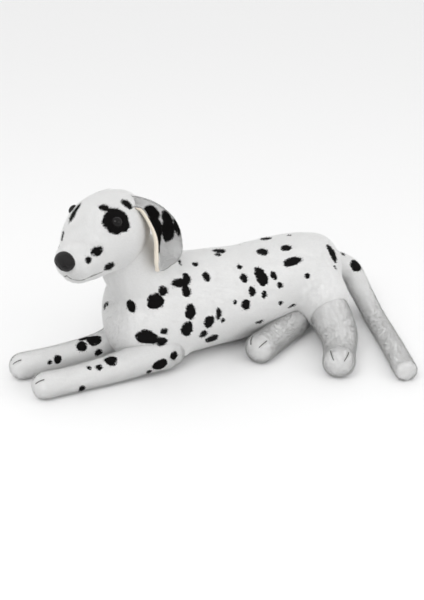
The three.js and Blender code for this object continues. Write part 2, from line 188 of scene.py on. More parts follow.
def head_place(points):
    """From the head's own frame, which faces -Y, to the turned head on the neck."""
    c, s = math.cos(HEAD_YAW), math.sin(HEAD_YAW)
    return np.asarray(points, float) @ np.array([[c, s, 0], [-s, c, 0], [0, 0, 1]]) + HEAD_CENTRE


def leg(x, y, size, lift=0.0):
    r = LEG_RADIUS * size
    return [x, y, r - GROUND_SINK + lift, r, r]


def tail(x, y, z, size):
    return [x, y, z, TAIL_RADIUS * size, TAIL_RADIUS * size]


TORSO = Tube(
    [[0, -86, 90, 62, 72], [0, -50, 84, 77, 82], [0, 0, 83.5, 83, 85], [0, 60, 80.5, 82, 82],
     [0, 130, 77, 81, 78], [0, 200, 85, 75, 72], [0, 250, 89, 69, 66], [0, 288, 88, 60, 60]], 0.45, 0.6)
HAUNCH = Tube([[30, 262, 74, 50, 57], [70, 257, 58, 45, 52]], 0.6, 0.85)
SHOULDER_LEFT = Tube([[50, -10, 52, 26, 40], [52, -46, 46, 26, 36]], 0.7, 0.7)
SHOULDER_RIGHT = Tube([[-44, -10, 52, 26, 40], [-40, -46, 46, 26, 36]], 0.7, 0.7)
NECK = Tube(
    [[0, -34, 125, 60, 60], [6, -66, 172, 52, 54], [12, -90, 218, 45, 46], [14, -98, 245, 38, 38]], 0.6, 0.6)
HEAD_STATIONS = [
    [0, 28, -2, 47, 48], [0, 4, -4, 57, 55], [0, -22, -10, 59, 57],
    [0, -46, -18, 53, 49], [0, -68, -27, 42, 38], [0, -89, -32, 31, 30]]
HEAD_LOCAL = Tube(HEAD_STATIONS, 0.55, 0.68)
HEAD = Tube(HEAD_STATIONS, 0.55, 0.68, place=head_place)
LEGS = {
    "foreleg_left": Tube(
        [[56, -30, 40, 26, 34], [55, -50, 35, 30, 33], leg(53, -78, 1.33, 4), leg(51, -120, 1.12, 1),
         leg(46, -190, 0.98), leg(42, -242, 1)], 0.8, 0.85),
    "foreleg_right": Tube(
        [[-48, -24, 40, 26, 34], [-42, -46, 35, 30, 33], leg(-36, -76, 1.25, 2), leg(-27, -124, 1.06),
         leg(-27, -190, 0.98), leg(-30, -256, 1)], 0.8, 0.85),
    "hind_left": Tube(
        [[52, 262, 58, 26, 32], [82, 258, 50, 32, 38], leg(110, 252, 1.6, 7), leg(146, 240, 1.42, 2),
         leg(184, 215, 1.18), leg(206, 198, 1.22)], 0.6, 0.8),
    "hind_right": Tube(
        [[24, 238, 34, 26, 26], leg(54, 214, 1.17, 0.5), leg(76, 172, 1.15), leg(96, 132, 1.13),
         leg(108, 108, 1.17)], 0.8, 0.8),
}
TAIL = Tube(
    [tail(0, 300, 92, 1.6), tail(0, 322, 86, 1.4), tail(14, 352, 70, 1.25), tail(46, 362, 34, 1.08),
     tail(102, 349, 16.7, 1), tail(184, 319, 16.7, 0.98), tail(270, 285, 16.7, 1)], 0.6, 0.45)


def ear_tube(side, forward):
    shape = [[-14, -2, 0.03, 0.13], [0, 0, 0, 0.17], [20, 6, 0.1, 0.28],
             [36, 17, 0.34, 0.42], [40, 20, 0.6, 0.46], [38, 19, 0.78, 0.37]]
    seam_out, seam_back, seam_up = EAR_SEAM
    stations = [
        [side * (seam_out + out), seam_back + back - forward * min(1, drop * 2.5),
         seam_up - EAR_LENGTH * drop, EAR_WIDTH * width, EAR_HALF_THICKNESS]
        for out, back, drop, width in shape
    ]
    return Tube(stations, 0.6, EAR_TIP_CAP / EAR_HALF_THICKNESS, side=(1, 0, 0.6 * side), place=head_place)


EARS = {"left": ear_tube(1, 0), "right": ear_tube(-1, 26)}

# ---------------------------------------------------------------- spots

SPOT_DEPTH = 26
SPOT_SWELL = 1.06

# Each spot: step along the tube, angle round it, length, width, and tilt from the spine in degrees.
CHEST_SPOTS = [
    (-0.3, 32, 14, 20, 0), (0.05, 350, 34, 26, 0), (0.13, 347, 20, 15, 0), (0.14, 0, 11, 11, 0),
    (0.09, 35, 25, 24, 0), (0.16, 45, 15, 13, 0), (-0.8, 170, 8, 14, 0), (-0.85, 130, 7, 11, 0),
]
FLANK_SPOTS = [
    (0.26, 50, 32, 14, 0), (0.27, 40, 14, 20, 0), (0.29, 55, 12, 16, 0), (0.27, 17, 18, 24, 0),
    (0.25, 358, 19, 27, 0), (0.37, 52, 12, 18, 0), (0.35, 71, 10, 10, 0), (0.35, 1, 18, 22, 0),
    (0.39, 8, 10, 20, 0), (0.41, 359, 8, 8, 0), (0.33, 346, 14, 14, 0), (0.38, 333, 24, 20, 0),
]
BACK_SPOTS = [
    (0.29, 86, 8, 38, 0), (0.48, 93, 22, 20, 0), (0.46, 83, 11, 10, 0), (0.65, 74, 18, 18, 0),
    (0.74, 69, 19, 14, 0), (0.71, 105, 20, 18, 0), (0.82, 98, 8, 7, 0),
]
LOIN_SPOTS = [
    (0.51, 59, 10, 9, 0), (0.51, 44, 13, 16, 0), (0.59, 42, 20, 34, 0), (0.64, 38, 10, 15, 0),
    (0.65, 24, 10, 10, 0), (0.53, 27, 12, 17, 0), (0.58, 20, 10, 12, 0), (0.5, 13, 17, 17, 0),
    (0.46, 18, 7, 8, 0), (0.56, 343, 15, 6, 0), (0.64, 0, 8, 8, 0), (0.69, 345, 14, 6, 0),
]
RUMP_SPOTS = [
    (0.73, 47, 34, 15, 0), (0.78, 22, 10, 10, 0), (1.0, 45, 15, 34, 0), (0.97, 22, 6, 8, 0),
]
TAIL_SPOTS = [(0.22, 85, 9, 10, 0), (0.33, 75, 22, 26, 0)]
NEAR_FORELEG_SPOTS = [
    (0.06, 180, 14, 14, 0), (0.28, 190, 24, 20, 0), (0.41, 212, 9, 10, 0), (0.64, 110, 17, 20, 30),
    (0.7, 124, 10, 10, 0), (0.74, 115, 7, 7, 0), (0.79, 205, 11, 14, 0),
]
FAR_FORELEG_SPOTS = [
    (0.43, 65, 16, 9, 0), (0.63, 110, 24, 20, 0), (0.7, 122, 17, 18, 0), (0.63, 172, 13, 11, 0),
    (0.83, 155, 12, 14, 0), (0.87, 160, 7, 7, 0), (0.67, 78, 18, 12, 0),
]
FACE_SPOTS = [
    (0.43, 134, 36, 40, 0), (0.4, 108, 12, 15, 0), (0.2, 125, 14, 20, 0), (0.82, 146, 17, 13, 0),
    (0.98, 153, 9, 10, 0), (0.77, 195, 16, 16, 0), (0.52, 62, 32, 14, 0),
]
NEAR_EAR_SPOTS = [
    (0.42, 90, 28, 26, 0), (0.5, 62, 36, 32, 0), (0.6, 38, 34, 28, 0), (0.55, 125, 26, 20, 0),
    (0.62, 104, 34, 30, 0), (0.65, 150, 26, 18, 0),
]
FAR_EAR_SPOTS = [(0.5, 340, 30, 20, 0), (0.65, 355, 40, 22, 0)]

SPOTS = {
    "body": [
        (TORSO, CHEST_SPOTS + FLANK_SPOTS + BACK_SPOTS + LOIN_SPOTS + RUMP_SPOTS),
        (TAIL, TAIL_SPOTS),
        (LEGS["foreleg_left"], NEAR_FORELEG_SPOTS),
        (LEGS["foreleg_right"], FAR_FORELEG_SPOTS),
    ],
    "head": [(HEAD, FACE_SPOTS)],
    "ear_left": [(EARS["left"], NEAR_EAR_SPOTS)],
    "ear_right": [(EARS["right"], FAR_EAR_SPOTS)],
}


class Spots:
    """Dark patches with uneven edges, as places on the surface with their own axes."""

    def __init__(self, rows, seed):
        rng = np.random.default_rng(seed)
        self.rows = []
        for tube, marks in rows:
            for step, angle, length, width, tilt in marks:
                centre, along, around, out = tube.frame_at(step, angle)
                t = math.radians(tilt)
                a = along * math.cos(t) + around * math.sin(t)
                b = -along * math.sin(t) + around * math.cos(t)
                self.rows.append((centre, a, b, out, length / 2, width / 2, rng.uniform(0, 6.28, 4)))

    def at(self, points, normals):
        """How far each point is inside a spot, in millimetres, negative outside."""
        best = np.full(len(points), -50.0)
        for centre, a, b, out, length, width, phase in self.rows:
            d = points - centre
            near = np.flatnonzero(
                (np.abs(d @ out) < SPOT_DEPTH)
                & (np.einsum("ij,ij->i", d, d) < (length * 1.6 + SPOT_DEPTH) ** 2)
                & (normals @ out > 0.15))
            if not len(near):
                continue
            x, y = d[near] @ a / length, d[near] @ b / width
            turn = np.arctan2(y, x)
            edge = SPOT_SWELL + 0.05 * np.sin(2 * turn + phase[0]) + 0.05 * np.sin(3 * turn + phase[1])
            edge += 0.03 * np.sin(5 * turn + phase[2]) + 0.02 * np.sin(9 * turn + phase[3])
            inside = (edge - np.hypot(x, y)) * width
            best[near] = np.maximum(best[near], inside)
        return best


def scatter(tube, steps, angles, count, apart, sizes, seed):
    """Marks strewn over a stretch of a tube, none closer than apart."""
    rng = np.random.default_rng(seed)
    marks, places = [], []
    while len(marks) < count:
        step, angle = rng.uniform(*steps), rng.uniform(*angles)
        size = rng.uniform(*sizes) * rng.choice([0.6, 1, 1, 1.4])
        place = tube.at(step, angle)
        if all(np.linalg.norm(place - p) > apart + s / 2 + size / 2 for p, s in places):
            places.append((place, size))
            marks.append((step, angle, size * rng.uniform(1, 1.5), size, rng.uniform(-80, 80)))
        apart *= 0.999
    return tube, marks


SPOTS["body"].append(scatter(TORSO, (-0.2, 0.95), (118, 200), 30, 20, (13, 24), 5))
SPOTS["head"].append(scatter(HEAD, (0.7, 0.98), (-15, 45), 4, 8, (8, 13), 8))
SPOTS["head"].append(scatter(HEAD, (0.12, 0.2), (50, 62), 1, 8, (13, 15), 3))
SPOTS["ear_right"].append(scatter(EARS["right"], (0.4, 1.1), (205, 320), 6, 4, (13, 20), 9))

# ---------------------------------------------------------------- mesh helpers


def new_object(name, verts, faces):
    mesh = bpy.data.meshes.new(name)
    mesh.from_pydata((np.asarray(verts) * MM).tolist(), [], [tuple(f) for f in faces])
    mesh.validate()
    mesh.update()
    obj = bpy.data.objects.new(name, mesh)
    bpy.context.scene.collection.objects.link(obj)
    return obj


def coordinates(obj):
    """The mesh's points in millimetres."""
    flat = np.empty(len(obj.data.vertices) * 3)
    obj.data.vertices.foreach_get("co", flat)
    return flat.reshape(-1, 3) / MM


def set_coordinates(obj, points):
    obj.data.vertices.foreach_set("co", (points * MM).ravel())
    obj.data.update()


def normals_of(obj):
    flat = np.empty(len(obj.data.vertices) * 3)
    obj.data.vertices.foreach_get("normal", flat)
    return flat.reshape(-1, 3)


def bake_modifiers(obj):
    """Replaces the mesh by what its modifiers make of it."""
    depsgraph = bpy.context.evaluated_depsgraph_get()
    depsgraph.update()
    mesh = bpy.data.meshes.new_from_object(obj.evaluated_get(depsgraph))
    obj.modifiers.clear()
    old = obj.data
    obj.data = mesh
    bpy.data.meshes.remove(old)
    obj.data.name = obj.name


def joined(name, shells):
    verts, faces, start = [], [], 0
    for v, f in shells:
        verts.append(v)
        faces += [tuple(i + start for i in face) for face in f]
        start += len(v)
    return new_object(name, np.vstack(verts), faces)


def stuffed(name, shells, voxel, smooth, cap):
    """One closed skin round the shells: remeshed, eased, run through a cloth simulation with inner pressure,
    and subdivided. The simulation moves no point by more than cap."""
    obj = joined(name, shells)
    remesh = obj.modifiers.new("remesh", "REMESH")
    remesh.mode = "VOXEL"
    remesh.voxel_size = voxel * MM
    ease = obj.modifiers.new("ease", "SMOOTH")
    ease.factor = 0.5
    ease.iterations = smooth
    bake_modifiers(obj)
    before = coordinates(obj)
    cloth = obj.modifiers.new("cloth", "CLOTH")
    cloth.settings.use_pressure = True
    cloth.settings.uniform_pressure_force = CLOTH_PRESSURE
    cloth.settings.effector_weights.gravity = 0
    cloth.settings.quality = 4
    cloth.settings.mass = 0.3
    cloth.settings.tension_stiffness = 20
    cloth.settings.bending_stiffness = 1.0
    cloth.collision_settings.use_collision = False
    for number in range(1, CLOTH_FRAMES + 1):
        bpy.context.scene.frame_set(number)
    bake_modifiers(obj)
    bpy.context.scene.frame_set(1)
    move = coordinates(obj) - before
    move -= move.mean(axis=0)
    far = np.linalg.norm(move, axis=1, keepdims=True)
    set_coordinates(obj, before + move * np.minimum(1, cap / np.maximum(far, 1e-6)))
    split = obj.modifiers.new("split", "SUBSURF")
    split.levels = split.render_levels = 1
    bake_modifiers(obj)
    shade_smooth(obj)
    return obj


def tree_of(obj):
    mesh = obj.data
    points = [v.co.copy() for v in mesh.vertices]
    return BVHTree.FromPolygons(points, [tuple(p.vertices) for p in mesh.polygons])


def depth_in(tree, point):
    """How deep a point in metres is inside a closed mesh, negative outside, in metres."""
    near, normal, _, _ = tree.find_nearest(point)
    return (near - point).dot(normal)


def tube_mesh(name, path, radius, around=8):
    """A closed thread along a path of points."""
    path = spline(np.array(path, float), np.linspace(0, 1, 6 * len(path)))
    ways = unit(np.gradient(path, axis=0))
    side = unit(np.cross(ways, np.array([0.31, 0.52, 0.79])))
    up = np.cross(ways, side)
    turn = np.arange(around) * 2 * np.pi / around
    size = np.full(len(path), radius)
    size[[0, -1]] *= 0.35
    size[[1, -2]] *= 0.8
    rings = path[:, None] + size[:, None, None] * (
        side[:, None] * np.cos(turn)[None, :, None] + up[:, None] * np.sin(turn)[None, :, None])
    verts = np.vstack([rings.reshape(-1, 3), path[:1], path[-1:]])
    faces = []
    last = (len(path) - 1) * around
    for j in range(around):
        k = (j + 1) % around
        faces.append((len(verts) - 2, k, j))
        faces.append((len(verts) - 1, last + j, last + k))
        for i in range(len(path) - 1):
            faces.append((i * around + j, i * around + k, (i + 1) * around + k, (i + 1) * around + j))
    obj = new_object(name, verts, faces)
    shade_smooth(obj)
    return obj


def shade_smooth(obj):
    for polygon in obj.data.polygons:
        polygon.use_smooth = True


def slab(name, top, bottom):
    """A closed layer between two grids of points of the same shape."""
    rows, cols = top.shape[:2]
    index = np.arange(rows * cols).reshape(rows, cols)
    low = index + rows * cols
    faces = []
    for i in range(rows - 1):
        for j in range(cols - 1):
            faces.append((index[i, j], index[i + 1, j], index[i + 1, j + 1], index[i, j + 1]))
            faces.append((low[i, j], low[i, j + 1], low[i + 1, j + 1], low[i + 1, j]))
    rim = [*index[0, :-1], *index[:-1, -1], *index[-1, :0:-1], *index[:0:-1, 0]]
    for a, b in zip(rim, rim[1:] + rim[:1]):
        faces.append((a, b, b + rows * cols, a + rows * cols))
    obj = new_object(name, np.vstack([top.reshape(-1, 3), bottom.reshape(-1, 3)]), faces)
    shade_smooth(obj)
    return obj


def lathe(name, profile, seat, axis, around=48):
    """Turns a profile of [radius, height] about an axis through seat, starting and ending on the axis."""
    axis = unit(np.array(axis, float))
    side = unit(np.cross(axis, np.array([0.2, 0.3, 0.93])))
    up = np.cross(axis, side)
    turn = np.arange(around) * 2 * np.pi / around
    profile = np.array(profile, float)
    ring = side[None] * np.cos(turn)[:, None] + up[None] * np.sin(turn)[:, None]
    rings = seat + profile[1:-1, None, 1:2] * axis + profile[1:-1, None, 0:1] * ring[None]
    verts = np.vstack([rings.reshape(-1, 3), [seat + axis * profile[0, 1]], [seat + axis * profile[-1, 1]]])
    faces = []
    count = len(profile) - 2
    for j in range(around):
        k = (j + 1) % around
        faces.append((len(verts) - 2, k, j))
        faces.append((len(verts) - 1, (count - 1) * around + j, (count - 1) * around + k))
        for i in range(count - 1):
            faces.append((i * around + j, i * around + k, (i + 1) * around + k, (i + 1) * around + j))
    obj = new_object(name, verts, faces)
    shade_smooth(obj)
    return obj


def on_skin(tree, points, lift):
    """The points moved to the nearest place on a skin, lifted off it, and the outward normals there."""
    placed, normals = [], []
    for p in points:
        near, normal, _, _ = tree.find_nearest(Vector(p * MM))
        placed.append(np.array(near) / MM + np.array(normal) * lift)
        normals.append(np.array(normal))
    return np.array(placed), np.array(normals)


def distance_to(path, points):
    """How far each point is from a line of points."""
    fine = spline(np.array(path, float), np.linspace(0, 1, 8 * len(path)))
    best = np.full(len(points), 1e9)
    for p in fine:
        best = np.minimum(best, np.linalg.norm(points - p, axis=1))
    return best


def press(obj, path, depth, width):
    """A groove in a skin along a path."""
    points = coordinates(obj)
    away = distance_to(path, points)
    set_coordinates(obj, points - normals_of(obj) * (depth * np.exp(-(away / width) ** 2))[:, None])


def attribute(obj, name, values, domain="POINT"):
    layer = obj.data.attributes.new(name, "FLOAT", domain)
    layer.data.foreach_set("value", np.asarray(values, np.float32))


# ---------------------------------------------------------------- materials


def material(name):
    mat = bpy.data.materials.new(name)
    mat.use_nodes = True
    nodes, links = mat.node_tree.nodes, mat.node_tree.links
    return mat, nodes, links, nodes["Principled BSDF"]


def plush_material(name, light, dark, pile):
    """Plush, white to black by its spot value, with uneven tone. Fibres carry both values in their UV map,
    and the skin under them in attributes, with a fine grain."""
    mat, nodes, links, shader = material(name)
    if pile:
        place = nodes.new("ShaderNodeUVMap")
        place.uv_map = "OFBake"
        split = nodes.new("ShaderNodeSeparateXYZ")
        links.new(place.outputs["UV"], split.inputs[0])
        spot_value, tone_value = split.outputs[0], split.outputs[1]
    else:
        spot = nodes.new("ShaderNodeAttribute")
        tone = nodes.new("ShaderNodeAttribute")
        spot.attribute_name, tone.attribute_name = "spot", "tone"
        spot_value, tone_value = spot.outputs["Fac"], tone.outputs["Fac"]
    white = nodes.new("ShaderNodeMix")
    white.data_type = "RGBA"
    white.inputs[6].default_value = (*[c * 0.90 for c in light], 1)
    white.inputs[7].default_value = (*light, 1)
    links.new(tone_value, white.inputs[0])
    colour = nodes.new("ShaderNodeMix")
    colour.data_type = "RGBA"
    links.new(white.outputs[2], colour.inputs[6])
    colour.inputs[7].default_value = (*dark, 1)
    ramp = nodes.new("ShaderNodeMapRange")
    ramp.inputs["From Min"].default_value = 0.35
    ramp.inputs["From Max"].default_value = 0.65
    links.new(spot_value, ramp.inputs["Value"])
    links.new(ramp.outputs[0], colour.inputs[0])
    links.new(colour.outputs[2], shader.inputs["Base Color"])
    shader.inputs["Roughness"].default_value = 0.95
    shader.inputs["Specular IOR Level"].default_value = 0.08
    shader.inputs["Sheen Weight"].default_value = 0.03
    shader.inputs["Sheen Roughness"].default_value = 0.6
    if not pile:
        noise = nodes.new("ShaderNodeTexNoise")
        noise.inputs["Scale"].default_value = 900
        noise.inputs["Detail"].default_value = 3
        bump = nodes.new("ShaderNodeBump")
        bump.inputs["Strength"].default_value = 0.5
        bump.inputs["Distance"].default_value = 0.001
        links.new(noise.outputs["Fac"], bump.inputs["Height"])
        links.new(bump.outputs[0], shader.inputs["Normal"])
    return mat


def lining_material():
    """Cream cotton with a fine weave."""
    mat, nodes, links, shader = material("ear_lining_weave")
    place = nodes.new("ShaderNodeTexCoord")
    waves = []
    for axis in ("X", "Z"):
        wave = nodes.new("ShaderNodeTexWave")
        wave.bands_direction = axis
        wave.inputs["Scale"].default_value = 520
        wave.inputs["Distortion"].default_value = 1.2
        links.new(place.outputs["Object"], wave.inputs["Vector"])
        waves.append(wave)
    weave = nodes.new("ShaderNodeMath")
    weave.operation = "MULTIPLY"
    links.new(waves[0].outputs["Fac"], weave.inputs[0])
    links.new(waves[1].outputs["Fac"], weave.inputs[1])
    noise = nodes.new("ShaderNodeTexNoise")
    noise.inputs["Scale"].default_value = 60
    links.new(place.outputs["Object"], noise.inputs["Vector"])
    mix = nodes.new("ShaderNodeMix")
    mix.data_type = "RGBA"
    mix.inputs[6].default_value = (0.74, 0.66, 0.55, 1)
    mix.inputs[7].default_value = (0.85, 0.79, 0.69, 1)
    links.new(noise.outputs["Fac"], mix.inputs[0])
    links.new(mix.outputs[2], shader.inputs["Base Color"])
    shader.inputs["Roughness"].default_value = 0.85
    shader.inputs["Sheen Weight"].default_value = 0.3
    bump = nodes.new("ShaderNodeBump")
    bump.inputs["Strength"].default_value = 0.4
    bump.inputs["Distance"].default_value = 0.0004
    links.new(weave.outputs[0], bump.inputs["Height"])
    links.new(bump.outputs[0], shader.inputs["Normal"])
    return mat


def thread_material():
    """Dark twisted thread."""
    mat, nodes, links, shader = material("stitch_thread")
    place = nodes.new("ShaderNodeTexCoord")
    wave = nodes.new("ShaderNodeTexWave")
    wave.bands_direction = "DIAGONAL"
    wave.inputs["Scale"].default_value = 700
    links.new(place.outputs["Object"], wave.inputs["Vector"])
    mix = nodes.new("ShaderNodeMix")
    mix.data_type = "RGBA"
    mix.inputs[6].default_value = (0.10, 0.097, 0.093, 1)
    mix.inputs[7].default_value = (0.19, 0.185, 0.18, 1)
    links.new(wave.outputs["Fac"], mix.inputs[0])
    links.new(mix.outputs[2], shader.inputs["Base Color"])
    shader.inputs["Roughness"].default_value = 0.8
    bump = nodes.new("ShaderNodeBump")
    bump.inputs["Strength"].default_value = 0.5
    bump.inputs["Distance"].default_value = 0.0005
    links.new(wave.outputs["Fac"], bump.inputs["Height"])
    links.new(bump.outputs[0], shader.inputs["Normal"])
    return mat


WHITE = (0.86, 0.86, 0.855)
BLACK = (0.006, 0.0055, 0.0055)
SKIN = plush_material("plush_skin", WHITE, BLACK, False)
PILE = plush_material("plush_pile", WHITE, BLACK, True)

# ---------------------------------------------------------------- pile


def grow_pile(name, base, count, flow, spots, seed, hidden=(), bare=None, length=PILE_LENGTH):
    """Short fibres over a skin, as one mesh of narrow triangles that lean along flow, coloured one by one."""
    rng = np.random.default_rng(seed)
    mesh = base.data
    mesh.calc_loop_triangles()
    tris = np.empty(len(mesh.loop_triangles) * 3, int)
    mesh.loop_triangles.foreach_get("vertices", tris)
    tris = tris.reshape(-1, 3)
    points, normals = coordinates(base), normals_of(base)
    a, b, c = (points[tris[:, k]] for k in range(3))
    area = np.linalg.norm(np.cross(b - a, c - a), axis=1)
    pick = rng.choice(len(tris), count, p=area / area.sum())
    u, v = rng.random(count), rng.random(count)
    flip = u + v > 1
    u[flip], v[flip] = 1 - u[flip], 1 - v[flip]
    w = np.stack([1 - u - v, u, v], axis=1)
    root = sum(points[tris[pick, k]] * w[:, k:k + 1] for k in range(3))
    normal = unit(sum(normals[tris[pick, k]] * w[:, k:k + 1] for k in range(3)))
    keep = (root[:, 2] > 2.5) | (normal[:, 2] > -0.5)
    for tree in hidden:
        for i in np.flatnonzero(keep):
            if depth_in(tree, Vector(root[i] * MM)) > 0.003:
                keep[i] = False
    if bare is not None:
        keep &= ~bare(root)
    root, normal = root[keep], normal[keep]
    count = len(root)
    lie = flow(root) + rng.normal(0, PILE_DISORDER, (count, 3))
    lie = unit(lie - normal * np.einsum("ij,ij->i", lie, normal)[:, None])
    lean = np.radians(rng.uniform(*PILE_LEAN, count))[:, None]
    reach = (length * rng.uniform(0.7, 1.15, count))[:, None]
    tip = root + reach * (normal * np.cos(lean) + lie * np.sin(lean))
    tip[:, 2] = np.maximum(tip[:, 2], 0.05)
    aside = unit(np.cross(normal, lie)) * (PILE_WIDTH / 2)
    low = root - normal * 0.3
    verts = np.stack([low + aside, low - aside, tip], axis=1).reshape(-1, 3)
    obj = new_pile_mesh(name, verts, count)
    obj.data.normals_split_custom_set_from_vertices(np.repeat(normal, 3, axis=0).tolist())
    inside = spots.at(root, normal) + rng.normal(0, 0.8, count)
    spot = (inside > 0).astype(float)
    tone = np.clip(rng.normal(0.55, 0.25, count), 0, 1)
    uv = np.stack([0.08 + 0.84 * spot, 0.03 + 0.94 * tone], axis=1)
    corner = np.array([[-0.02, -0.012], [0.02, -0.012], [0.0, 0.02]])
    layer = obj.data.uv_layers.new(name="OFBake")
    layer.data.foreach_set("uv", (uv[:, None, :] + corner[None]).ravel())
    obj.data.materials.append(PILE)
    return obj


def new_pile_mesh(name, verts, count):
    mesh = bpy.data.meshes.new(name)
    mesh.vertices.add(count * 3)
    mesh.loops.add(count * 3)
    mesh.polygons.add(count)
    mesh.vertices.foreach_set("co", (verts * MM).ravel())
    mesh.loops.foreach_set("vertex_index", np.arange(count * 3))
    mesh.polygons.foreach_set("loop_start", np.arange(count) * 3)
    mesh.update(calc_edges=True)
    obj = bpy.data.objects.new(name, mesh)
    bpy.context.scene.collection.objects.link(obj)
    return obj


def colour_skin(obj, spots, seed):
    """The skin under the pile takes the same spots."""
    inside = spots.at(coordinates(obj), normals_of(obj))
    attribute(obj, "spot", np.clip(0.5 + inside / 3, 0, 1))
    attribute(obj, "tone", np.random.default_rng(seed).uniform(0.2, 0.8, len(obj.data.vertices)))
    obj.data.materials.clear()
    obj.data.materials.append(SKIN)


# ---------------------------------------------------------------- the stuffed parts

body_shells = [TORSO.loft(60, 60), NECK.loft(30, 44), HAUNCH.loft(20, 40), SHOULDER_LEFT.loft(16, 32),
               SHOULDER_RIGHT.loft(16, 32)]
body = stuffed("body_plush", body_shells, voxel=5.5, smooth=12, cap=4)
head = stuffed("head_plush", [HEAD.loft(44, 52)], voxel=4, smooth=4, cap=3)
limbs = {
    name: stuffed(name + "_plush", [tube.loft(44, 32)], voxel=4, smooth=3, cap=2.5)
    for name, tube in LEGS.items()
}
tail_piece = stuffed("tail_plush", [TAIL.loft(60, 28)], voxel=4, smooth=3, cap=2)

for piece in [body, *limbs.values(), tail_piece]:
    points = coordinates(piece)
    points[:, 2] = np.maximum(points[:, 2], 0.2)
    set_coordinates(piece, points)

body_spots = Spots(SPOTS["body"], 1)
head_spots = Spots(SPOTS["head"], 2)
for piece in [body, *limbs.values(), tail_piece]:
    colour_skin(piece, body_spots, 11)
colour_skin(head, head_spots, 12)

body_tree = tree_of(body)


def body_flow(points):
    """The coat lies backwards and down."""
    return np.tile([0.0, 1.0, -0.45], (len(points), 1))


def spine_flow(tube):
    spine = spline(tube.stations[:, :3], np.linspace(0, 1, 60))
    way = unit(np.gradient(spine, axis=0))

    def flow(points):
        nearest = np.array([np.argmin(((spine - p) ** 2).sum(axis=1)) for p in points])
        return way[nearest]
    return flow


def head_flow(points):
    """From the nose back over the skull."""
    c, s = math.cos(HEAD_YAW), math.sin(HEAD_YAW)
    return np.tile([-s, c, 0.15], (len(points), 1))


# Lines of thread: the lips, and two toe lines on each paw.
LIP = [(0.82, -26), (1.05, -30), (1.4, -42), (1.7, -66), (1.84, -90)]
lip_marks = LIP + [(step, -180 - angle) for step, angle in reversed(LIP[:-1])]
threads = []
lip_path, _ = on_skin(tree_of(head), [HEAD.at(step, angle) for step, angle in lip_marks], -0.3)
press(head, lip_path, 1.6, 2.6)
threads.append(("mouth_thread", "mouth_stitch", lip_path, "head"))
toe_paths = {}
for name, tube in LEGS.items():
    toe_paths[name] = []
    for number, angle in enumerate((60, 120) if name.startswith("fore") else (55, 125)):
        marks = [tube.at(step, angle) for step in (1.02, 1.2, 1.42, 1.62)]
        path, _ = on_skin(tree_of(limbs[name]), marks, 0.0)
        press(limbs[name], path, 1.4, 2.4)
        toe_paths[name].append(path)
        threads.append((f"{name}_toe_thread_{number + 1}", f"{name}_toe_stitch_{number + 1}", path, name))

EYE_SEATS = [HEAD.at(EYE_STEP, 180.0 - EYE_RISE), HEAD.at(EYE_STEP, EYE_RISE)]
NOSE_SEAT = head_place(HEAD_LOCAL.at(NOSE_STEP, 90.0, NOSE_INSET))
EYE_CLEARANCE = 8.5
NOSE_CLEARANCE = 13
LIP_CLEARANCE = 1.5
TOE_CLEARANCE = 1.3


def bare_face(points):
    """No pile over the eyes, the nose and the mouth's thread."""
    bare = distance_to(lip_path, points) < LIP_CLEARANCE
    for seat in EYE_SEATS:
        bare |= np.linalg.norm(points - seat, axis=1) < EYE_CLEARANCE
    return bare | (np.linalg.norm(points - NOSE_SEAT, axis=1) < NOSE_CLEARANCE)


def bare_toes(name):
    return lambda points: np.minimum(*[distance_to(path, points) for path in toe_paths[name]]) < TOE_CLEARANCE


piles = [
    (grow_pile("body_pile", body, PILE_COUNTS["body"], body_flow, body_spots, 21), "body"),
    (grow_pile("head_pile", head, PILE_COUNTS["head"], head_flow, head_spots, 22, bare=bare_face), "head"),
]
for number, (name, piece) in enumerate(limbs.items()):
    pile = grow_pile(name + "_pile", piece, PILE_COUNTS["limb"], spine_flow(LEGS[name]), body_spots,
                     30 + number, hidden=[body_tree], bare=bare_toes(name))
    piles.append((pile, name))
tail_pile = grow_pile("tail_pile", tail_piece, PILE_COUNTS["tail"], spine_flow(TAIL), body_spots, 40,
                      hidden=[body_tree])
piles.append((tail_pile, "tail"))

# ---------------------------------------------------------------- ears

EAR_LAYER = 2.2
ROLL_WIDTH = 13.0
ROLL_RADIUS = 7.0


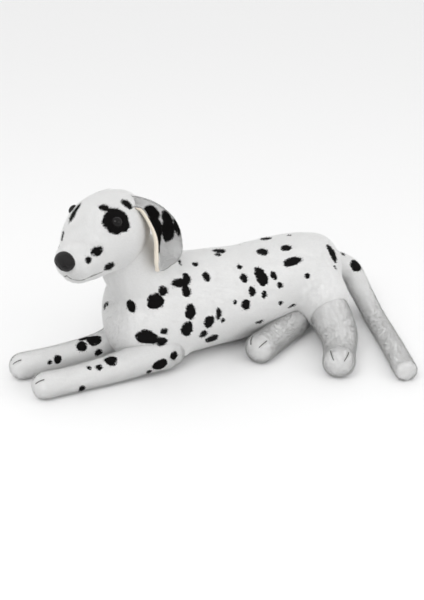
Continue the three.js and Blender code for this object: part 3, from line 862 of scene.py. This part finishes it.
def ear_grids(side):
    """The outer face, the middle and the inner face of an ear. The left one's front edge rolls outwards and
    shows the lining, and the right one's rolls inwards."""
    tube = EARS[side]
    steps = np.concatenate([
        np.linspace(-0.9, 0, 5)[:-1], np.linspace(0, 1, 36), 1 + np.linspace(0, 0.97, 16)[1:]])
    across = np.linspace(-1, 1, 41)
    front, back = tube.at(steps, 0.0), tube.at(steps, 180.0)
    centre, half = (front + back) / 2, (front - back) / 2
    reach = np.linalg.norm(half, axis=1)
    forward = unit(half)
    above, below = tube.at(np.clip(steps, 0, 1), 90.0), tube.at(np.clip(steps, 0, 1), 270.0)
    out = unit(above - below) * (1 if side == "left" else -1)
    along = np.clip((steps + 0.1) / 2, 0, 1)
    roll = ROLL_WIDTH * np.clip((steps - 0.12) / 0.2, 0, 1) * np.clip((1.85 - steps) / 0.8, 0, 1)
    grids = []
    for lift in (1, 0, -1):
        u = across[None, :] * np.ones((len(steps), 1))
        a = u * reach[:, None]
        curl = 1 if side == "left" else -1
        b = lift * EAR_LAYER * np.sqrt(np.clip(1 - u**8, 0, 1)) * np.minimum(1, reach / 6)[:, None]
        b = b + 2.6 * np.sin(5.0 * along[:, None] + 1.6 * u + 0.6) * u**2 * np.clip(steps, 0, 1)[:, None]
        start = (reach - roll)[:, None]
        past = np.maximum(a - start, 0)
        turn = past / ROLL_RADIUS
        a_rolled = start + (ROLL_RADIUS - curl * b) * np.sin(turn)
        b_rolled = curl * (ROLL_RADIUS - (ROLL_RADIUS - curl * b) * np.cos(turn))
        a, b = np.where(past > 0, a_rolled, a), np.where(past > 0, b_rolled, b)
        grids.append(centre[:, None] + forward[:, None] * a[..., None] + out[:, None] * b[..., None])
    return grids


def open_skin(name, grid, inside):
    """One grid of points as a mesh that faces away from the grid inside it."""
    rows, cols = grid.shape[:2]
    index = np.arange(rows * cols).reshape(rows, cols)
    faces = [(index[i, j], index[i + 1, j], index[i + 1, j + 1], index[i, j + 1])
             for i in range(rows - 1) for j in range(cols - 1)]
    obj = new_object(name, grid.reshape(-1, 3), faces)
    outward = np.einsum("ij,ij->i", normals_of(obj), (grid - inside).reshape(-1, 3)).sum()
    if outward < 0:
        obj.data.flip_normals()
    return obj


LINING = lining_material()
head_tree = tree_of(head)
ears = {}
for number, side in enumerate(("left", "right")):
    outer_grid, middle, inner_grid = ear_grids(side)
    gap = unit(outer_grid[:, 20:21] - inner_grid[:, 20:21]) * 0.05
    outer = slab("ear_plush_" + side, outer_grid, middle + gap)
    lining = slab("ear_lining_cloth_" + side, middle - gap, inner_grid)
    for piece in (outer, lining):
        centre = Vector(middle.mean(axis=(0, 1)) * MM)
        if sum(p.area * p.normal.dot(p.center - centre) for p in piece.data.polygons) < 0:
            piece.data.flip_normals()
    spots = Spots(SPOTS["ear_" + side], 50 + number)
    colour_skin(outer, spots, 60 + number)
    lining.data.materials.append(LINING)
    skin = open_skin("ear_growth", outer_grid, middle)
    pile = grow_pile("ear_pile_" + side, skin, PILE_COUNTS["ear"], spine_flow(EARS[side]), spots, 70 + number,
                     length=PILE_LENGTH * 0.8, hidden=[head_tree])
    bpy.data.objects.remove(skin)
    ears[side] = (outer, lining, pile)

# ---------------------------------------------------------------- face and toes


def plastic_material(name, colour, roughness, grain, grain_scale):
    """Moulded plastic with a fine grain."""
    mat, nodes, links, shader = material(name)
    noise = nodes.new("ShaderNodeTexNoise")
    noise.inputs["Scale"].default_value = grain_scale
    noise.inputs["Detail"].default_value = 4
    mix = nodes.new("ShaderNodeMix")
    mix.data_type = "RGBA"
    mix.inputs[6].default_value = (*colour, 1)
    mix.inputs[7].default_value = (*[min(1, c * 1.5 + 0.003) for c in colour], 1)
    links.new(noise.outputs["Fac"], mix.inputs[0])
    links.new(mix.outputs[2], shader.inputs["Base Color"])
    shader.inputs["Roughness"].default_value = roughness
    shader.inputs["Specular IOR Level"].default_value = 0.2
    bump = nodes.new("ShaderNodeBump")
    bump.inputs["Strength"].default_value = grain
    bump.inputs["Distance"].default_value = 0.0006
    links.new(noise.outputs["Fac"], bump.inputs["Height"])
    links.new(bump.outputs[0], shader.inputs["Normal"])
    return mat


EYE_PLASTIC = plastic_material("eye_gloss", (0.003, 0.0025, 0.0025), 0.08, 0.02, 300)
NOSE_PLASTIC = plastic_material("nose_moulded", (0.006, 0.0055, 0.0055), 0.4, 0.6, 420)
WASHER_PLASTIC = plastic_material("washer_moulded", (0.75, 0.75, 0.72), 0.4, 0.1, 500)
THREAD_COTTON = thread_material()

eye_pieces = {}
for side, angle in (("left", 180 - EYE_RISE), ("right", EYE_RISE)):
    centre, along, around, out = HEAD.frame_at(EYE_STEP, angle)
    seat, _ = on_skin(head_tree, [centre], 0.0)
    turn = np.linspace(0, np.pi / 2, 14)
    dome = [[EYE_RADIUS * math.cos(t), 0.8 + EYE_RADIUS * 0.72 * math.sin(t)] for t in turn]
    post_and_flange = [[0, -16], [2.4, -15.5], [2.4, -3], [7.6, -2.4], [8.5, -1.2], [8.8, 0.0], [8.5, 0.7]]
    profile = [*post_and_flange, *dome[:-1], [0, dome[-1][1]]]
    eye_pieces[side] = lathe("eye_dome_" + side, profile, seat[0], out)
    eye_pieces[side].data.materials.append(EYE_PLASTIC)

nose_seat = HEAD_LOCAL.at(NOSE_STEP, 90.0, NOSE_INSET) + np.array([0, 2.0, -1.0])
verts, faces = Tube([[0, 0, -0.02, 1, 1], [0, 0, 0.02, 1, 1]], 0.98, 0.98, side=(0, 1, 0)).loft(3, 96)
fine = joined("nose_sculpt", [(verts, faces)])
split = fine.modifiers.new("split", "SUBSURF")
split.levels = split.render_levels = 2
bake_modifiers(fine)
ball = unit(coordinates(fine))
size = np.ones(len(ball))
for side in (1, -1):
    nostril = unit(np.array([side * 0.50, -0.80, -0.12]))
    size -= 0.20 * np.exp(-((np.linalg.norm((ball - nostril) * np.array([1.0, 1, 1.5]), axis=1) / 0.22) ** 2))
    wing = unit(np.array([side * 0.85, -0.42, -0.2]))
    size += 0.05 * np.exp(-((np.linalg.norm(ball - wing, axis=1) / 0.35) ** 2))
groove = np.exp(-((ball[:, 0] / 0.07) ** 2))
size -= 0.07 * groove * np.clip(-ball[:, 2] * 2.5 + 0.1, 0, 1) * np.clip(-ball[:, 1] * 2, 0, 1)
narrow = 1 - 0.18 * np.clip(-ball[:, 2], 0, 1)
shape = ball * size[:, None] * NOSE_SIZE
shape[:, 0] *= narrow
set_coordinates(fine, head_place(shape + nose_seat))
shade_smooth(fine)
fine.data.materials.append(NOSE_PLASTIC)
nose_piece = fine
nose_piece.name = nose_piece.data.name = "nose_moulded"

# ---------------------------------------------------------------- bodies, and the CAD parts they replace


def follow(piece, part):
    if part == "head":
        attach(piece, "head")
    else:
        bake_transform(piece)


skins = [(body, "body"), (head, "head"), (tail_piece, "tail"), *[(p, n) for n, p in limbs.items()]]
for piece, part in [*skins, *piles]:
    follow(piece, part)

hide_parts("torso_skin_left", "torso_skin_right", "torso_skin_belly", "torso_filling", "neck_skin",
            "neck_filling")
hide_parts("head_skin_left", "head_skin_right", "head_skin_crown", "head_skin_chin", "head_filling")
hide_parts("tail_skin", "tail_filling")
for name, piece in limbs.items():
    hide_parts(name + "_skin", name + "_sole", name + "_filling")

for side, (outer, lining, pile) in ears.items():
    tube = EARS[side]
    for piece, slot in ((outer, "plush"), (lining, "ear_lining"), (pile, "plush")):
        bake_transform(piece)
    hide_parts("ear_outer_" + side)
    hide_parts("ear_lining_" + side)

for side, piece in eye_pieces.items():
    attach(piece, "head")
    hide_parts("eye_" + side)
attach(nose_piece, "head")
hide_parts("nose")
for node, name, path, part in threads:
    piece = tube_mesh(name, path, THREAD_RADIUS)
    piece.data.materials.append(THREAD_COTTON)
    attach(piece, part)
    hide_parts(node)
for node in ("eye_washer_left", "eye_washer_right", "nose_washer"):
    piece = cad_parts[node]
    piece.data.materials.clear()
    piece.data.materials.append(WASHER_PLASTIC)

# ---------------------------------------------------------------- floor, light and camera

floor_corners = [(x * FLOOR_REACH, y * FLOOR_REACH, 0) for x, y in ((-1, -1), (1, -1), (1, 1), (-1, 1))]
floor_mesh = new_object("floor", floor_corners, [(0, 1, 2, 3)])
floor_mesh.location.z = cad_box[0][2]
floor_material, nodes, links, shader = material("floor_paper")
shader.inputs["Base Color"].default_value = (0.84, 0.84, 0.84, 1)
shader.inputs["Roughness"].default_value = 0.9
floor_mesh.data.materials.append(floor_material)

world = bpy.context.scene.world or bpy.data.worlds.new("world")
bpy.context.scene.world = world
world.use_nodes = True
world.node_tree.nodes["Background"].inputs[0].default_value = (1, 1, 1, 1)
world.node_tree.nodes["Background"].inputs[1].default_value = 1.0


def area_light(name, place, size, power):
    data = bpy.data.lights.new(name, "AREA")
    data.shape = "DISK"
    data.size = size
    data.energy = power
    lamp = bpy.data.objects.new(name, data)
    lamp.location = place
    lamp.rotation_euler = (CAMERA_TARGET - lamp.location).to_track_quat("-Z", "Y").to_euler()
    bpy.context.scene.collection.objects.link(lamp)


area_light("key", Vector((0.9, -1.1, 1.9)), 1.2, 13)
area_light("fill", Vector((1.8, 1.2, 1.2)), 1.6, 6)

camera_data = bpy.data.cameras.new("camera")
camera_data.lens = CAMERA_LENS
camera_data.sensor_width = 36
camera = bpy.data.objects.new("camera", camera_data)
back = Vector((
    math.sin(CAMERA_AZIMUTH) * math.cos(CAMERA_ELEVATION),
    -math.cos(CAMERA_AZIMUTH) * math.cos(CAMERA_ELEVATION),
    math.sin(CAMERA_ELEVATION)))
camera.location = CAMERA_TARGET + back * CAMERA_DISTANCE
camera.rotation_euler = back.to_track_quat("Z", "Y").to_euler()
bpy.context.scene.collection.objects.link(camera)
bpy.context.scene.camera = camera
bpy.context.scene.view_settings.view_transform = "Standard"
